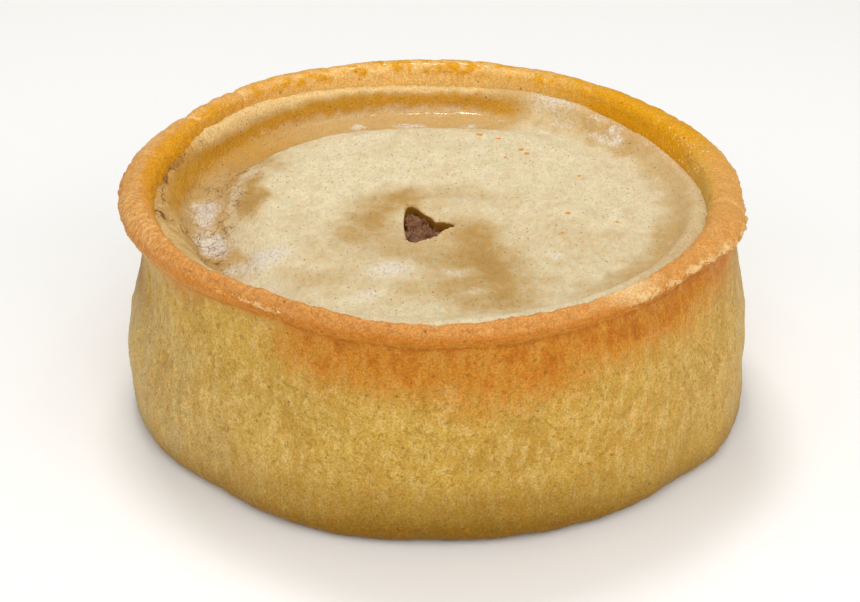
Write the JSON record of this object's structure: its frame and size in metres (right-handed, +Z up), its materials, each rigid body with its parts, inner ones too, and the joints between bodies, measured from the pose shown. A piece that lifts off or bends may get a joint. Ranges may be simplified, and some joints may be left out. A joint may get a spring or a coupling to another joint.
{
  "type": "pork pie",
  "caption": "Round hand-raised meat pie: a golden pastry cup with a rolled rim, a pale sunken pastry lid with a torn steam hole, and minced meat below it.",
  "frame": {"origin": "middle of the base, on the surface the pie stands on", "axes": "+Z up, -Y towards the side that the picture shows, +X to its right"},
  "size_m": [0.0925, 0.0915, 0.0351],
  "materials": {
    "baked_crust": "golden hot-water crust, baked browner at the rim, slightly greasy",
    "pale_crust": "pale floury crust with moist tan patches and fine brown specks",
    "minced_pork": "cooked minced meat, moist"
  },
  "bodies": {
    "root": {"case": "baked_crust", "lid": "pale_crust", "filling": "minced_pork"}
  },
  "joints": []
}
